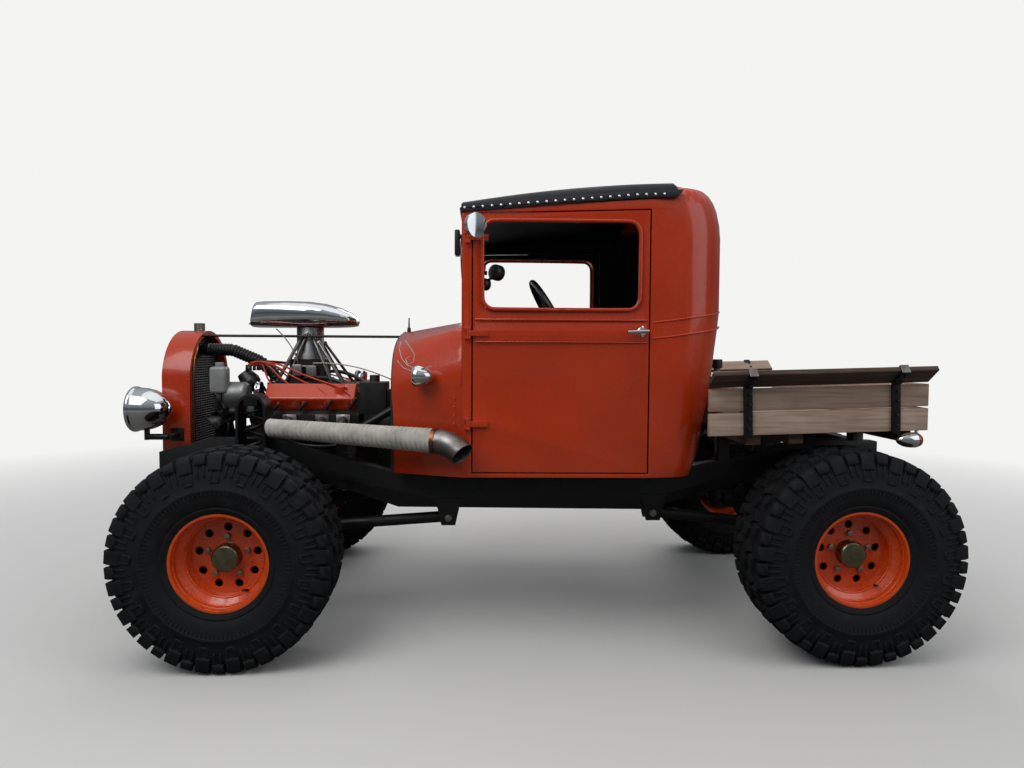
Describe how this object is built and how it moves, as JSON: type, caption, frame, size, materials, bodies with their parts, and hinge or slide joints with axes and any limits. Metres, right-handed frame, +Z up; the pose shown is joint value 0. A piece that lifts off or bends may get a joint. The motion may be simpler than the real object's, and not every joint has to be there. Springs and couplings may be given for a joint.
{
  "type": "hot rod pickup",
  "caption": "Open-engined hot rod pickup with a tall closed cab, plank bed, wide mud tyres and turning wheels, steering, doors and tailgate.",
  "frame": {"origin": "on the ground under the middle of the vehicle's bounding box", "axes": "+X to the rear, +Y to the vehicle's right-hand side, +Z up"},
  "size_m": [3.575, 1.908, 2.036],
  "materials": {
    "enamel": "gloss",
    "vinyl": "satin",
    "frame_black": "satin",
    "chrome": "polished",
    "bare_steel": "satin",
    "cast_iron": "rough",
    "aluminium": "satin",
    "plastic": "satin",
    "spring_steel": "gloss",
    "rubber": "matte",
    "tyre": "matte",
    "board": "weathered",
    "upholstery": "satin",
    "glass": "clear"
  },
  "bodies": {
    "chassis": {"air_scoop": "chrome", "alternator": "aluminium", "bed_floor": "board", "bed_sides": "board", "bed_stakes": "frame_black", "brake_servo": "plastic", "cab_floor": "frame_black", "cab_shell": "enamel", "carburettor": "cast_iron", "chassis_frame": "frame_black", "coil_springs": "spring_steel", "cooling_fan": "aluminium", "cowl": "enamel", "crossmembers": "frame_black", "dashboard": "frame_black", "distributor": "plastic", "engine_block": "cast_iron", "exhausts": "bare_steel", "front_axle": "cast_iron", "fuel_tank": "bare_steel", "gearbox": "cast_iron", "glass": "glass", "grille": "chrome", "headlamps": "chrome", "hood_rod": "chrome", "lamp_bar": "frame_black", "marker_lamps": "chrome", "radiator_core": "aluminium", "radiator_hose": "rubber", "radiator_shell": "enamel", "rear_axle": "cast_iron", "roof_top": "vinyl", "seat_back": "upholstery", "seat_cushion": "upholstery", "steering_column": "frame_black", "suspension_arms": "frame_black", "valve_covers": "enamel"},
    "knuckle_left": {"knuckle_left": "cast_iron"},
    "knuckle_right": {"knuckle_right": "cast_iron"},
    "tie_rod": {"tie_rod": "cast_iron"},
    "steering_wheel": {"steering_wheel": "frame_black"},
    "wheel_front_left": {"wheel_front_left": "enamel", "tyre_front_left": "tyre"},
    "wheel_front_right": {"wheel_front_right": "enamel", "tyre_front_right": "tyre"},
    "wheel_rear_left": {"wheel_rear_left": "enamel", "tyre_rear_left": "tyre"},
    "wheel_rear_right": {"wheel_rear_right": "enamel", "tyre_rear_right": "tyre"},
    "door_left": {"door_left": "enamel"},
    "door_right": {"door_right": "enamel"},
    "tailgate": {"tailgate": "board"}
  },
  "joints": [
    {"name": "steer_left", "type": "hinge", "parent": "chassis", "child": "knuckle_left", "pos_m": [-1.19, -0.62, 0.4375], "axis": [0, 0, 1], "range_deg": [-25, 25]},
    {"name": "steer_right", "type": "hinge", "parent": "chassis", "child": "knuckle_right", "pos_m": [-1.19, 0.62, 0.4375], "axis": [0, 0, 1], "range_deg": [-25, 25]},
    {"name": "tie_rod_slide", "type": "slide", "parent": "chassis", "child": "tie_rod", "axis": [0, 1, 0], "range_m": [-0.0656, 0.0656]},
    {"name": "steering_wheel_turn", "type": "hinge", "parent": "chassis", "child": "steering_wheel", "pos_m": [0.15, -0.35, 1.42], "axis": [0.866, 0, 0.5], "range_deg": [-351, 351]},
    {"name": "roll_front_left", "type": "hinge", "parent": "knuckle_left", "child": "wheel_front_left", "pos_m": [-1.19, -0.795, 0.4375], "axis": [0, 1, 0], "continuous": true},
    {"name": "roll_front_right", "type": "hinge", "parent": "knuckle_right", "child": "wheel_front_right", "pos_m": [-1.19, 0.795, 0.4375], "axis": [0, 1, 0], "continuous": true},
    {"name": "roll_rear_left", "type": "hinge", "parent": "chassis", "child": "wheel_rear_left", "pos_m": [1.35, -0.795, 0.4375], "axis": [0, 1, 0], "continuous": true},
    {"name": "roll_rear_right", "type": "hinge", "parent": "chassis", "child": "wheel_rear_right", "pos_m": [1.35, 0.795, 0.4375], "axis": [0, 1, 0], "continuous": true},
    {"name": "door_left_hinge", "type": "hinge", "parent": "chassis", "child": "door_left", "pos_m": [-0.232, -0.68418, 1.34], "axis": [0, 0, -1], "range_deg": [0, 65]},
    {"name": "door_right_hinge", "type": "hinge", "parent": "chassis", "child": "door_right", "pos_m": [-0.232, 0.68418, 1.34], "axis": [0, 0, 1], "range_deg": [0, 65]},
    {"name": "tailgate_hinge", "type": "hinge", "parent": "chassis", "child": "tailgate", "pos_m": [1.676, 0, 0.93237], "axis": [0, 1, 0], "range_deg": [0, 90]}
  ],
  "couplings": [
    {"joint": "steer_right", "follows": "steer_left", "ratio": 1},
    {"joint": "tie_rod_slide", "follows": "steer_left", "m_per_rad": 0.15},
    {"joint": "steering_wheel_turn", "follows": "steer_left", "ratio": 14}
  ]
}
